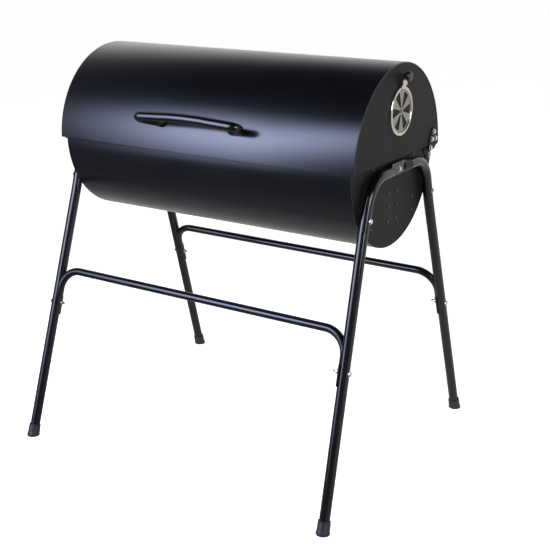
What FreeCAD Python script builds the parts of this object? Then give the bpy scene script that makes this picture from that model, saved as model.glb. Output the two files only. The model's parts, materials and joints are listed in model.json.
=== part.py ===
import FreeCAD, Part
import math
import os
import Sketcher
from FreeCAD import Vector, Rotation, Placement

# Barrel charcoal grill. Millimetres. X runs along the barrel towards the vent end,
# Y runs from the front (handle side) to the back (hinge side), Z is up.
# The origin is on the floor under the middle of the leg footprint.

driving_sizes = {
    # barrel
    "sheet_wall": 1.2,            # sheet steel of the barrel
    "barrel_length": 823.0,       # bowl, over its end plates
    "bowl_radius": 212.5,
    "bowl_axis_y": -4.0,          # the bowl sits a little forward of the lid
    "rim_height": 790.0,          # bowl rim above the floor; the bowl is half a drum
    "rim_lip": 8.6,               # lip folded out along the front rim
    # lid
    "lid_side_gap": 12.5,         # from the bowl's wall to the lid's, in radius
    "lid_end_gap": 11.5,          # from the bowl's end plate to the lid's end
    "lid_axis_drop": 4.0,         # lid axis below the rim
    "lid_seam": 0.8,              # lid edge above the rim
    "lid_hem": 7.0,               # hem folded in along the lower edge of a lid end
    "end_inset": 0.6,             # an end plate sits this far inside its shell
    "fit_gap": 0.1,               # between welded or seated neighbours
    # vent
    "vent_y": 2.0,
    "vent_rise": 114.0,           # vent centre above the lid axis
    "vent_radius": 57.5,
    "vent_slot_radius": 45.0,
    "vent_hub_radius": 9.0,
    "vent_slot_angle": 30.0,
    "vent_plate": 1.0,
    "vent_bead": 4.0,             # radius of the rolled rim bead
    "vent_pip_inset": 9.5,        # pressed pips, inside the vent's radius
    "vent_tab_width": 22.0,
    "vent_tab_reach": 80.0,       # knob centre above the vent centre
    "vent_tab_stand": 8.0,        # the tab's outer end stands off this far
    "knob_radius": 11.5,
    "knob_length": 15.0,
    # hinge
    "pivot_inset": 34.5,          # pivot forward of the bowl's rear wall
    "pivot_drop": 5.0,            # pivot below the rim
    "pivot_radius": 3.0,
    "running_gap": 0.06,          # hinge pin to hole, in radius
    "bracket_plate": 2.0,
    # handle
    "handle_x": 0.0,
    "handle_tube": 22.0,
    "handle_span": 177.0,         # half distance between the corners, before rounding
    "handle_root": 103.0,         # half distance between the fixings
    "handle_bend": 14.0,
    "handle_stand": 52.0,         # bar centre off the lid
    "handle_angle": 18.0,         # fixing line above the lid axis, in degrees
    "handle_tilt": 21.0,          # handle plane above the level, in degrees
    "handle_arch": 10.0,          # the bar's middle corner above its ends
    # leg frames
    "leg_tube": 25.0,
    "tube_wall": 1.5,
    "frame_top_drop": 24.0,       # centre of the top bar below the rim
    "frame_bend": 76.0,
    "leg_bolt_drop": 110.0,       # leg bolts below the rim
    "leg_bolt_inset": 44.0,       # leg bolts inside the bowl's radius, along Y
    "foot_y": 382.0,              # half spread of the feet
    "foot_splay": 24.0,           # how far the feet stand out along X
    "splay_height": 650.0,        # where the splay begins
    "crimp_thick": 12.0,
    "crimp_half": 30.0,
    "spacer_thick": 1.5,
    # rails
    "rail_tube": 20.0,
    "rail_height": 439.0,
    "rail_bend": 58.0,
    "rail_drop": 118.0,           # foot of a rail's pressed end below the rail
    "rail_bolt_drop": 87.0,
    "rail_press": 3.0,            # thickness of a pressed end, two walls together
    # feet
    "cap_radius": 16.5,
    "cap_height": 31.0,
    "cap_floor": 7.0,
    # fasteners
    "bolt_radius": 3.0,
    "bolt_gap": 0.25,             # bolt to hole, in radius
    "head_radius": 5.8,           # across corners
    "head_thick": 4.0,
    "nut_thick": 5.0,
    "washer_radius": 8.0,
    "rivet_radius": 2.0,
    # grids
    "grid_wire": 2.0,             # radius
    "grid_rim_wire": 3.0,         # radius
    "grid_pitch": 18.0,
    "grid_half_width": 176.0,
    "grid_drop": 17.0,            # support ledge below the rim
    "ledge_width": 14.0,
    "ledge_drop_high": 87.0,      # three heights for the charcoal grate, below the rim
    "ledge_drop_mid": 119.0,
    "ledge_drop_low": 153.0,
    "grate_wire": 2.5,            # radius
    "grate_rod_count": 15.0,
    "dot_near": 22.0,             # ledge rivets, either side of the middle
    "dot_far": 109.0,
}

doc = FreeCAD.newDocument("barrel_grill")
sheet = doc.addObject("Spreadsheet::Sheet", "sizes")
for row, (alias, number) in enumerate(driving_sizes.items(), start=1):
    sheet.set(f"A{row}", alias)
    sheet.set(f"B{row}", str(number))
    sheet.setAlias(f"B{row}", alias)
doc.recompute()


class Size:
    """A length with the spreadsheet expression that gives it."""

    def __init__(self, number, text=None):
        self.number = float(number)
        self.text = text or repr(self.number)

    def joined(self, other, sign, number):
        return Size(number, f"({self.text} {sign} {other.text})")

    def __add__(self, other):
        other = as_size(other)
        return self.joined(other, "+", self.number + other.number)

    def __sub__(self, other):
        other = as_size(other)
        return self.joined(other, "-", self.number - other.number)

    def __mul__(self, other):
        other = as_size(other)
        return self.joined(other, "*", self.number * other.number)

    def __truediv__(self, other):
        other = as_size(other)
        return self.joined(other, "/", self.number / other.number)

    def __radd__(self, other):
        return as_size(other) + self

    def __rsub__(self, other):
        return as_size(other) - self

    def __rmul__(self, other):
        return as_size(other) * self

    def __neg__(self):
        return Size(-self.number, f"(-{self.text})")

    def __float__(self):
        return self.number


def as_size(item):
    return item if isinstance(item, Size) else Size(item)


def cell(alias):
    return Size(sheet.get(alias), f"sizes.{alias}")


def root(square):
    return Size(math.sqrt(square.number), f"sqrt{square.text}")


wall = cell("sheet_wall")
fit_gap = cell("fit_gap")
rim_z = cell("rim_height")
bowl_r = cell("bowl_radius")
bowl_y = cell("bowl_axis_y")
bowl_half = cell("barrel_length") / 2
lid_r = bowl_r + cell("lid_side_gap")
lid_half = bowl_half + cell("lid_end_gap")
lid_z = rim_z - cell("lid_axis_drop")
lid_edge_z = rim_z + cell("lid_seam")
lid_face = lid_half - cell("end_inset")          # outer face of a lid end plate
plate = cell("bracket_plate")
pivot_y = bowl_y + bowl_r - cell("pivot_inset")
pivot_z = rim_z - cell("pivot_drop")
pin_r = cell("pivot_radius")
bolt_r = cell("bolt_radius")
hole_r = bolt_r + cell("bolt_gap")
head_r = cell("head_radius")
head_t = cell("head_thick")
nut_t = cell("nut_thick")
rivet_r = cell("rivet_radius")
leg_r = cell("leg_tube") / 2
spacer = cell("spacer_thick")
frame_x = bowl_half + spacer + leg_r             # upper part of a leg frame
frame_top_z = rim_z - cell("frame_top_drop")
leg_bolt_y = bowl_r - cell("leg_bolt_inset")
leg_bolt_z = rim_z - cell("leg_bolt_drop")
bowl_inner = bowl_half - wall                    # inner face of a bowl end plate
ledge_tops = [rim_z - cell(f"ledge_drop_{level}") for level in ("high", "mid", "low")]
grid_z = rim_z - cell("grid_drop")
sides = {"left": -1, "right": 1}
along_x = Rotation(Vector(0, 1, 0), 90)          # a primitive's axis laid along +X
everywhere = Size(2000)

nodes = []


def keep(item, label):
    item.Label = label
    nodes.append(item)
    return item


def solid(kind, name, at=(0, 0, 0), turn=Rotation(), **lengths):
    item = doc.addObject(f"Part::{kind}", name)
    item.Placement = Placement(Vector(), turn)
    for axis, place in zip("xyz", at):
        item.setExpression(f"Placement.Base.{axis}", as_size(place).text)
    for name_of_size, length in lengths.items():
        item.setExpression(name_of_size, as_size(length).text)
    return item


def rod(name, x, y, z, radius, length):
    """A cylinder along +X that starts at x."""
    return solid("Cylinder", name, (x, y, z), along_x, Radius=radius, Height=length)


def block(name, low, high):
    spans = [as_size(b) - a for a, b in zip(low, high)]
    return solid("Box", name, low, Length=spans[0], Width=spans[1], Height=spans[2])


def cut(name, base, tools):
    item = doc.addObject("Part::Cut", name)
    item.Base = base
    item.Tool = tools[0] if len(tools) == 1 else group(f"{name}_tools", tools)
    return item


def fuse(name, pieces):
    item = doc.addObject("Part::MultiFuse", name)
    item.Shapes = pieces
    return item


def group(name, pieces):
    item = doc.addObject("Part::Compound", name)
    item.Links = pieces
    return item


def closed_sketch(body, plane, points):
    """A polygon sketch whose corners are held at (across, up) sizes."""
    sketch = body.newObject("Sketcher::SketchObject", f"{body.Name}_outline")
    origin_plane = [item for item in body.Origin.OriginFeatures if item.Role == plane][0]
    sketch.AttachmentSupport = [(origin_plane, "")]
    sketch.MapMode = "FlatFace"
    corners = [(as_size(across), as_size(up)) for across, up in points]
    flat = [Vector(float(across), float(up), 0) for across, up in corners]
    for index, start in enumerate(flat):
        sketch.addGeometry(Part.LineSegment(start, flat[(index + 1) % len(flat)]), False)
    for index in range(len(flat)):
        after = (index + 1) % len(flat)
        sketch.addConstraint(Sketcher.Constraint("Coincident", index, 2, after, 1))
    for index, pair in enumerate(corners):
        for direction, size, axis_line in (("X", pair[0], -2), ("Y", pair[1], -1)):
            if abs(float(size)) < 1e-9:
                sketch.addConstraint(Sketcher.Constraint("PointOnObject", index, 1, axis_line))
                continue
            held = Sketcher.Constraint(f"Distance{direction}", -1, 1, index, 1, float(size))
            number = sketch.addConstraint(held)
            sketch.setExpression(f"Constraints[{number}]", size.text)
    return sketch


def turned(name, points):
    """A body of revolution about its own Z axis, from (radius, height) points."""
    body = doc.addObject("PartDesign::Body", name)
    sketch = closed_sketch(body, "XZ_Plane", points)
    spin = body.newObject("PartDesign::Revolution", f"{name}_spin")
    spin.Profile = sketch
    spin.ReferenceAxis = (sketch, ["V_Axis"])
    spin.Angle = 360
    return body


def flat_plate(name, points, thickness, x, mirrored):
    """A plate cut to a (y, z) outline, its inner face at x, growing outwards."""
    body = doc.addObject("PartDesign::Body", name)
    sketch = closed_sketch(body, "YZ_Plane", points)
    pad = body.newObject("PartDesign::Pad", f"{name}_pad")
    pad.Profile = sketch
    pad.setExpression("Length", as_size(thickness).text)
    pad.Reversed = mirrored
    body.setExpression("Placement.Base.x", as_size(x).text)
    return body


def rounded_path(points, radii):
    """Straight runs through the points, each inner corner rounded by its radius."""
    edges = []
    start = points[0]
    for before, corner, after, radius in zip(points, points[1:], points[2:], radii):
        back = (before - corner).normalize()
        ahead = (after - corner).normalize()
        half = back.getAngle(ahead) / 2
        reach = radius / math.tan(half)
        enter = corner + back * reach
        leave = corner + ahead * reach
        middle = corner + (back + ahead).normalize() * (radius / math.sin(half) - radius)
        edges.append(Part.LineSegment(start, enter).toShape())
        edges.append(Part.Arc(enter, middle, leave).toShape())
        start = leave
    edges.append(Part.LineSegment(start, points[-1]).toShape())
    return Part.Wire(edges)


def swept(path, radius):
    first = path.Edges[0]
    heading = first.tangentAt(first.FirstParameter)
    section = Part.Wire([Part.makeCircle(radius, path.Vertexes[0].Point, heading)])
    return path.makePipeShell([section], True, False)


def bent_tube(path, radius, thickness):
    return swept(path, radius).cut(swept(path, radius - thickness))


def from_shape(label, shape):
    item = doc.addObject("Part::Feature", label)
    item.Shape = shape
    return keep(item, label)


def outward(side, start, length):
    """Start of an X-axis cylinder that runs outwards from start on the given side."""
    return start if side > 0 else -start - length


def hex_nut(name, side, start, y, z, thickness=nut_t, bore=hole_r):
    blank = solid("Prism", f"{name}_blank", (outward(side, start, thickness), y, z), along_x,
                  Circumradius=head_r, Height=thickness)
    return cut(name, blank, [rod(f"{name}_bore", -everywhere / 2, y, z, bore, everywhere)])


def ring(name, side, start, y, z, outer, inner, thickness):
    disc = rod(f"{name}_disc", outward(side, start, thickness), y, z, outer, thickness)
    return cut(name, disc, [rod(f"{name}_eye", -everywhere / 2, y, z, inner, everywhere)])


def hex_bolt(name, side, face, y, z, length, radius=bolt_r):
    """Its head sits on the outer face; the shank runs inwards by length."""
    head = solid("Prism", f"{name}_head", (outward(side, face, head_t), y, z), along_x,
                 Circumradius=head_r, Height=head_t)
    dome_x = face + head_t
    dome = rod(f"{name}_dome", outward(side, dome_x, head_t / 5), y, z, head_r * 0.7, head_t / 5)
    shank = rod(f"{name}_shank", outward(side, face - length, length), y, z, radius, length)
    return fuse(name, [head, dome, shank])


def drill(name, y, z, radius, side):
    """A hole tool through everything on one side of the barrel."""
    return rod(name, outward(side, Size(100), everywhere), y, z, radius, everywhere)


# --- lid -----------------------------------------------------------------------------

def make_lid_shell():
    skin = rod("lid_skin", -lid_half, 0, lid_z, lid_r, lid_half * 2)
    inside = rod("lid_inside", -lid_half - 1, 0, lid_z, lid_r - wall, lid_half * 2 + 2)
    below = block("below_lid_edge", (-everywhere / 2, -everywhere / 2, -everywhere / 4),
                  (everywhere / 2, everywhere / 2, lid_edge_z))
    handle_holes = [solid("Cylinder", f"handle_hole_{name}",
                          (handle_fix_x(side), handle_start[0], handle_start[1]),
                          handle_turn, Radius=hole_r, Height=60)
                    for name, side in sides.items()]
    for hole in handle_holes:
        hole.Placement = Placement(hole.Placement.Base, handle_turn)
    keep(cut("lid_shell_cut", skin, [inside, below] + handle_holes), "lid_shell")


def vent_slots(name, start, length, turned_by=0):
    """The six slots of the vent, as tools along +X from start."""
    slots = []
    hub = rod(f"{name}_hub", start - 1, vent_y, vent_z, cell("vent_hub_radius"), length + 2)
    for index in range(6):
        first_side = 60 * index + 30 + turned_by - float(cell("vent_slot_angle")) / 2
        turn = Rotation(Vector(1, 0, 0), first_side)
        slots.append(solid("Cylinder", f"{name}_slot_{index}", (start, vent_y, vent_z),
                           turn * along_x, Radius=cell("vent_slot_radius"), Height=length,
                           Angle=cell("vent_slot_angle")))
    return cut(f"{name}_slots", group(f"{name}_wedges", slots), [hub])


def make_lid_end(name, side):
    face = outward(side, lid_face - wall, wall)
    disc = rod(f"lid_end_{name}_disc", face, 0, lid_z, lid_r - wall - fit_gap / 2, wall)
    below = block(f"below_lid_end_{name}", (-everywhere / 2, -everywhere / 2, 0),
                  (everywhere / 2, everywhere / 2, lid_edge_z))
    segment = cut(f"lid_end_{name}_segment", disc, [below])
    hem_start = outward(side, lid_face - wall - cell("lid_hem"), cell("lid_hem") + wall / 2)
    hem = block(f"lid_end_{name}_hem", (hem_start, -lid_r + 10, lid_edge_z),
                (hem_start + cell("lid_hem") + wall / 2, pivot_y - 26, lid_edge_z + wall))
    tools = [drill(f"lid_end_{name}_hole_{index}", y, z, hole_r, side)
             for index, (y, z) in enumerate(lid_bracket_bolts)]
    if side > 0:
        tools.append(drill("vent_rivet_hole", vent_y, vent_z, rivet_r + cell("bolt_gap"), side))
        tools.append(vent_slots("lid_end", face - 5, Size(12), 30))
    keep(cut(f"lid_end_{name}_cut", fuse(f"lid_end_{name}_sheet", [segment, hem]), tools),
         f"lid_end_{name}")


lid_bracket_bolts = [(pivot_y + 18, pivot_z + 37.5), (pivot_y + 7, pivot_z + 20),
                     (pivot_y + 28, pivot_z + 19.5)]


def make_lid_brackets(name, side):
    """The bracket on a lid end plate: a fin with three bolts and an ear for the pivot."""
    outline = [(pivot_y - 9, pivot_z + 2), (pivot_y - 6, pivot_z - 7.5),
               (pivot_y + 4, pivot_z - 9), (pivot_y + 30, pivot_z - 4),
               (pivot_y + 34, pivot_z + 1.5), (pivot_y + 47, pivot_z + 4.5),
               (pivot_y + 43, pivot_z + 41), (pivot_y + 13, pivot_z + 49),
               (pivot_y + 8, pivot_z + 45), (pivot_y - 6, pivot_z + 12)]
    blank = flat_plate(f"lid_bracket_{name}_blank", outline, plate, lid_face * side, side < 0)
    tools = [drill(f"lid_bracket_{name}_hole_{index}", y, z, hole_r, side)
             for index, (y, z) in enumerate(lid_bracket_bolts)]
    tools.append(drill(f"lid_bracket_{name}_eye", pivot_y, pivot_z,
                       pin_r + cell("running_gap"), side))
    keep(cut(f"lid_bracket_{name}_cut", blank, tools), f"lid_hinge_bracket_{name}")
    face = lid_face + plate
    bolts = [hex_bolt(f"lid_bolt_{name}_{index}", side, face, y, z, plate + wall + nut_t)
             for index, (y, z) in enumerate(lid_bracket_bolts)]
    nuts = [hex_nut(f"lid_nut_{name}_{index}", side, lid_face - wall - nut_t, y, z)
            for index, (y, z) in enumerate(lid_bracket_bolts)]
    return bolts, nuts


# --- vent ----------------------------------------------------------------------------

vent_y = cell("vent_y")
vent_z = lid_z + cell("vent_rise")
vent_x = lid_face + fit_gap                       # inner face of the turning disc


def make_vent():
    thin = cell("vent_plate")
    bead_r = cell("vent_bead")
    radius = cell("vent_radius")
    disc = rod("vent_disc_sheet", vent_x, vent_y, vent_z, radius - bead_r / 2, thin)
    bead = solid("Torus", "vent_bead_ring", (vent_x, vent_y, vent_z), along_x,
                 Radius1=radius - bead_r, Radius2=bead_r)
    under = rod("under_vent", vent_x - 10, vent_y, vent_z, radius * 2, Size(10))
    half_bead = cut("vent_half_bead", bead, [under])
    reach = cell("vent_tab_reach")
    stand = cell("vent_tab_stand")
    tab_low = block("vent_tab_low", (vent_x, vent_y - cell("vent_tab_width") / 2, vent_z + radius - 6),
                    (vent_x + bead_r + thin, vent_y + cell("vent_tab_width") / 2, vent_z + radius + 4))
    tab_out = block("vent_tab_out", (vent_x, vent_y - cell("vent_tab_width") / 2, vent_z + radius + 2),
                    (vent_x + stand, vent_y + cell("vent_tab_width") / 2, vent_z + radius + 2 + thin * 1.5))
    tab_top = block("vent_tab_top",
                    (vent_x + stand - thin * 1.5, vent_y - cell("vent_tab_width") / 2,
                     vent_z + radius + 2),
                    (vent_x + stand, vent_y + cell("vent_tab_width") / 2, vent_z + reach + 6))
    pips = [solid("Sphere", f"vent_pip_{index}",
                  (vent_x + thin, vent_y, vent_z + (radius - cell("vent_pip_inset")) * sign), Radius=2)
            for index, sign in enumerate((1, -1))]
    blank = fuse("vent_disc_blank", [disc, half_bead, tab_low, tab_out, tab_top])
    under_pips = rod("under_pips", vent_x - 10, vent_y, vent_z, radius * 2, Size(10))
    pressed = fuse("vent_disc_pressed", [blank] + pips)
    eye = drill("vent_eye", vent_y, vent_z, rivet_r + cell("running_gap"), 1)
    screw_eye = drill("knob_eye", vent_y, vent_z + reach, rivet_r, 1)
    slots = vent_slots("vent_disc", vent_x - 5, Size(12))
    keep(cut("vent_disc_cut", pressed, [under_pips, eye, screw_eye, slots]), "vent_disc")

    rivet = fuse("vent_rivet_solid", [
        rod("vent_rivet_shank", lid_face - wall - 2, vent_y, vent_z, rivet_r, thin + wall + 4),
        rod("vent_rivet_head", vent_x + thin + fit_gap, vent_y, vent_z, rivet_r * 2.2, Size(1.6)),
        rod("vent_rivet_tail", lid_face - wall - 2, vent_y, vent_z, rivet_r * 1.8, Size(2) - fit_gap)])
    keep(rivet, "vent_rivet")

    knob_r = cell("knob_radius")
    length = cell("knob_length")
    knob = turned("vent_knob_body", [
        (0, 0), (knob_r * 0.62, 0), (knob_r * 0.62, 2), (knob_r * 0.92, 5), (knob_r, 9),
        (knob_r * 0.97, length - 5), (knob_r * 0.8, length - 1.6), (knob_r * 0.5, length), (0, length)])
    knob.Placement = Placement(Vector(), along_x)
    for axis, place in zip("xyz", (vent_x + stand + fit_gap, vent_y, vent_z + reach)):
        knob.setExpression(f"Placement.Base.{axis}", place.text)
    socket = rod("knob_socket", vent_x, vent_y, vent_z + reach, rivet_r - fit_gap / 2, stand + 10)
    keep(cut("vent_knob_cut", knob, [socket]), "vent_knob")
    screw_x = vent_x + stand - thin * 1.5
    screw = fuse("knob_screw_solid", [
        rod("knob_screw_head", screw_x - 2, vent_y, vent_z + reach, rivet_r * 1.8, Size(2) - fit_gap),
        rod("knob_screw_shank", screw_x - 1, vent_y, vent_z + reach, rivet_r - fit_gap, Size(10))])
    keep(screw, "vent_knob_screw")


# --- handle --------------------------------------------------------------------------

handle_turn = Rotation(Vector(1, 0, 0), 90 - float(cell("handle_tilt")))
handle_angle = math.radians(float(cell("handle_angle")))
handle_foot = (-lid_r * math.cos(handle_angle), lid_z + lid_r * math.sin(handle_angle))
handle_lean = math.radians(float(cell("handle_tilt")))
handle_start = (handle_foot[0] + 20 * math.cos(handle_lean), handle_foot[1] - 20 * math.sin(handle_lean))


def handle_fix_x(side):
    return cell("handle_x") + cell("handle_root") * side


def handle_point(along, off):
    """A point of the handle's plane: along X, and off the lid's surface."""
    return Vector(float(cell("handle_x")) + along, float(handle_foot[0]) - off * math.cos(handle_lean),
                  float(handle_foot[1]) + off * math.sin(handle_lean))


def make_handle():
    root_x = float(cell("handle_root"))
    span = float(cell("handle_span"))
    stand = float(cell("handle_stand"))
    tube_r = float(cell("handle_tube")) / 2
    thickness = float(cell("tube_wall"))
    foot = 9
    crown = handle_point(0, stand) + Vector(0, 0, float(cell("handle_arch")))
    points = [handle_point(-root_x, -12), handle_point(-root_x, foot), handle_point(-span, stand), crown,
              handle_point(span, stand), handle_point(root_x, foot), handle_point(root_x, -12)]
    bend = float(cell("handle_bend"))
    path = rounded_path(points, (bend, bend, 1200, bend, bend))
    lid_body = Part.makeCylinder(float(lid_r) + float(fit_gap), float(lid_half) * 2,
                                 Vector(-float(lid_half), 0, float(lid_z)), Vector(1, 0, 0))
    tube = bent_tube(path, tube_r, thickness).cut(lid_body)
    from_shape("lid_handle", tube)
    plugs, screws, washers = [], [], []
    heading = handle_point(0, 1) - handle_point(0, 0)
    screw_r = float(bolt_r)
    inner_r = float(lid_r - wall)
    hollow = Part.makeCylinder(inner_r, float(lid_half) * 2,
                               Vector(-float(lid_half), 0, float(lid_z)), Vector(1, 0, 0))
    core = swept(path, tube_r - thickness - 0.1).cut(lid_body)
    for side in (-1, 1):
        near_lid = Part.makeCylinder(tube_r * 1.6, 20, handle_point(side * root_x, -12), heading)
        plug = core.common(near_lid)
        shank = Part.makeCylinder(screw_r, 30, handle_point(side * root_x, -22), heading)
        plugs.append(plug.cut(shank))
        start = handle_point(side * root_x, -10)
        seat = Part.makeCylinder(float(cell("washer_radius")), 9, start, heading)
        washers.append(seat.common(hollow).cut(shank))
        head = Part.makeCylinder(float(head_r), float(head_t),
                                 handle_point(side * root_x, -10.1 - float(head_t)), heading)
        stem = Part.makeCylinder(screw_r - 0.05, 19, handle_point(side * root_x, -11), heading)
        screws.append(head.fuse(stem).removeSplitter())
    from_shape("handle_plugs", Part.makeCompound(plugs))
    from_shape("handle_washers", Part.makeCompound(washers))
    from_shape("handle_screws", Part.makeCompound(screws))


# --- bowl ----------------------------------------------------------------------------

def make_bowl_shell():
    skin = rod("bowl_skin", -bowl_half, bowl_y, rim_z, bowl_r, bowl_half * 2)
    inside = rod("bowl_inside", -bowl_half - 1, bowl_y, rim_z, bowl_r - wall, bowl_half * 2 + 2)
    tube = cut("bowl_drum", skin, [inside])
    above = block("above_rim", (-everywhere / 2, -everywhere / 2, rim_z),
                  (everywhere / 2, everywhere / 2, rim_z + everywhere / 2))
    trough = cut("bowl_trough", tube, [above])
    lip = block("bowl_lip", (-bowl_half, bowl_y - bowl_r - cell("rim_lip"), rim_z - wall),
                (bowl_half, bowl_y - bowl_r + wall / 2, rim_z))
    keep(fuse("bowl_shell_sheet", [trough, lip]), "bowl_shell")


near = cell("dot_near")
far = cell("dot_far")
dots = {0: (-near, near), 1: (-far, -near, near, far), 2: (-far, -near, near, far)}
rivet_rise = Size(6)                             # ledge rivets above their ledge


def ledge_rivet_places():
    places = []
    for level, steps in dots.items():
        for step in steps:
            places.append((bowl_y + step, ledge_tops[level] + rivet_rise))
    return places


grid_rivet_places = [(bowl_y - cell("grid_half_width") * 0.6, grid_z + 9),
                     (bowl_y + cell("grid_half_width") * 0.6, grid_z + 9)]
bowl_bracket_bolt = (pivot_y + 20, pivot_z - 22)
frame_bolt_places = [(Size(0), frame_top_z), (-leg_bolt_y, leg_bolt_z), (leg_bolt_y, leg_bolt_z)]


def make_bowl_end(name, side):
    disc = rod(f"bowl_end_{name}_disc", outward(side, bowl_inner, wall), bowl_y, rim_z,
               bowl_r - wall - fit_gap / 2, wall)
    above = block(f"above_bowl_end_{name}", (-everywhere / 2, -everywhere / 2, rim_z),
                  (everywhere / 2, everywhere / 2, rim_z + everywhere / 2))
    holes = [drill(f"bowl_end_{name}_bolt_{index}", y, z, hole_r, side)
             for index, (y, z) in enumerate(frame_bolt_places + [bowl_bracket_bolt, (pivot_y, pivot_z)])]
    holes += [drill(f"bowl_end_{name}_rivet_{index}", y, z, rivet_r + fit_gap / 2, side)
              for index, (y, z) in enumerate(ledge_rivet_places() + grid_rivet_places)]
    keep(cut(f"bowl_end_{name}_cut", disc, [above] + holes), f"bowl_end_{name}")


def make_bowl_bracket(name, side):
    """The bracket on a bowl end plate, the spacer on it and the pin through both."""
    outline = [(pivot_y - 11, pivot_z + 4), (pivot_y - 11, pivot_z - 10), (pivot_y + 6, pivot_z - 30),
               (pivot_y + 25, pivot_z - 30), (pivot_y + 29, pivot_z - 17), (pivot_y + 9, pivot_z + 4)]
    blank = flat_plate(f"bowl_bracket_{name}_blank", outline, plate, bowl_half * side, side < 0)
    holes = [drill(f"bowl_bracket_{name}_hole_{index}", y, z, hole_r, side)
             for index, (y, z) in enumerate([bowl_bracket_bolt, (pivot_y, pivot_z)])]
    keep(cut(f"bowl_bracket_{name}_cut", blank, holes), f"bowl_hinge_bracket_{name}")
    face = bowl_half + plate
    gap = lid_face - face - fit_gap * 2
    pin_length = lid_face + plate + fit_gap * 2 - bowl_inner + nut_t
    bush = ring(f"pivot_bush_{name}", side, face + fit_gap, pivot_y, pivot_z, pin_r * 1.9, hole_r, gap)
    pin = hex_bolt(f"pivot_pin_{name}", side, lid_face + plate + fit_gap * 2, pivot_y, pivot_z,
                   pin_length, pin_r)
    pin_nut = hex_nut(f"pivot_nut_{name}", side, bowl_inner - nut_t, pivot_y, pivot_z)
    bolt = hex_bolt(f"bowl_bracket_bolt_{name}", side, face, *bowl_bracket_bolt, plate + wall + nut_t)
    nut = hex_nut(f"bowl_bracket_nut_{name}", side, bowl_inner - nut_t, *bowl_bracket_bolt)
    return bush, pin, pin_nut, bolt, nut


def dome_rivet(name, side, y, z, inner):
    """Head outside the bowl end plate, shank through it, tail on the inner piece."""
    shank = rod(f"{name}_shank", outward(side, inner - 1, bowl_half - inner + 1.5), y, z, rivet_r,
                bowl_half - inner + 1.5)
    head = rod(f"{name}_head", outward(side, bowl_half, Size(1.4)), y, z, rivet_r * 1.7, Size(1.4))
    crown = rod(f"{name}_crown", outward(side, bowl_half + 1.4, Size(0.6)), y, z, rivet_r * 1.1, Size(0.6))
    tail = rod(f"{name}_tail", outward(side, inner - 1, Size(1)), y, z, rivet_r * 1.6, Size(1))
    return fuse(name, [shank, head, crown, tail])


def make_ledges(name, side):
    """Angle strips inside a bowl end plate that carry the grate and the grids."""
    strips = []
    inner = bowl_inner - wall
    for (level, steps), top in zip(dots.items(), ledge_tops):
        half = steps[-1] + 12
        shelf = block(f"ledge_{name}_shelf_{level}",
                      (outward(side, bowl_inner - cell("ledge_width"), cell("ledge_width")),
                       bowl_y - half, top - wall),
                      (outward(side, bowl_inner - cell("ledge_width"), cell("ledge_width"))
                       + cell("ledge_width"), bowl_y + half, top))
        web_x = outward(side, inner, wall)
        web = block(f"ledge_{name}_web_{level}", (web_x, bowl_y - half, top - wall),
                    (web_x + wall, bowl_y + half, top + 12))
        holes = [drill(f"ledge_{name}_hole_{level}_{index}", bowl_y + step, top + rivet_rise,
                       rivet_r + fit_gap / 2, side)
                 for index, step in enumerate(steps)]
        strips.append(cut(f"ledge_{name}_{level}", fuse(f"ledge_{name}_angle_{level}", [shelf, web]), holes))
    keep(group(f"ledges_{name}", strips), f"charcoal_ledges_{name}")

    half = cell("grid_half_width") * 0.85
    shelf_x = outward(side, bowl_inner - cell("ledge_width"), cell("ledge_width"))
    web_x = outward(side, inner, wall)
    angle = fuse(f"grid_ledge_{name}_angle", [
        block(f"grid_ledge_{name}_shelf", (shelf_x, bowl_y - half, grid_z - wall),
              (shelf_x + cell("ledge_width"), bowl_y + half, grid_z)),
        block(f"grid_ledge_{name}_web", (web_x, bowl_y - half, grid_z - wall),
              (web_x + wall, bowl_y + half, grid_z + 14))])
    holes = [drill(f"grid_ledge_{name}_hole_{index}", y, z, rivet_r + fit_gap / 2, side)
             for index, (y, z) in enumerate(grid_rivet_places)]
    keep(cut(f"grid_ledge_{name}_cut", angle, holes), f"grid_ledge_{name}")
    rivets = [dome_rivet(f"ledge_rivet_{name}_{index}", side, y, z, inner)
              for index, (y, z) in enumerate(ledge_rivet_places() + grid_rivet_places)]
    keep(group(f"ledge_rivets_{name}_all", rivets), f"ledge_rivets_{name}")


def make_grid_bar():
    """The bar across the middle of the bowl, under the joint of the two grids."""
    deep = 16
    inner = bowl_r - wall
    low = cell("grid_drop") + deep
    half = root(inner * inner - low * low) - fit_gap * 2
    web = block("grid_bar_web", (-wall / 2, bowl_y - half, grid_z - deep), (wall / 2, bowl_y + half, grid_z))
    shelf = block("grid_bar_shelf", (-10, bowl_y - half, grid_z - wall), (10, bowl_y + half, grid_z))
    keep(fuse("grid_bar_solid", [web, shelf]), "grid_cross_bar")


# --- grids ---------------------------------------------------------------------------

def straight_wire(start, end, radius):
    return Part.makeCylinder(radius, (end - start).Length, start, end - start)


def rim_loop(low, high, z, radius, corner):
    """A closed rectangular wire with round corners."""
    points = [Vector(low[0], low[1], z), Vector(high[0], low[1], z),
              Vector(high[0], high[1], z), Vector(low[0], high[1], z)]
    middle = (points[0] + points[1]) * 0.5
    path = rounded_path([middle] + points[1:] + [points[0], middle], [corner] * 4)
    return swept(path, radius)


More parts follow.
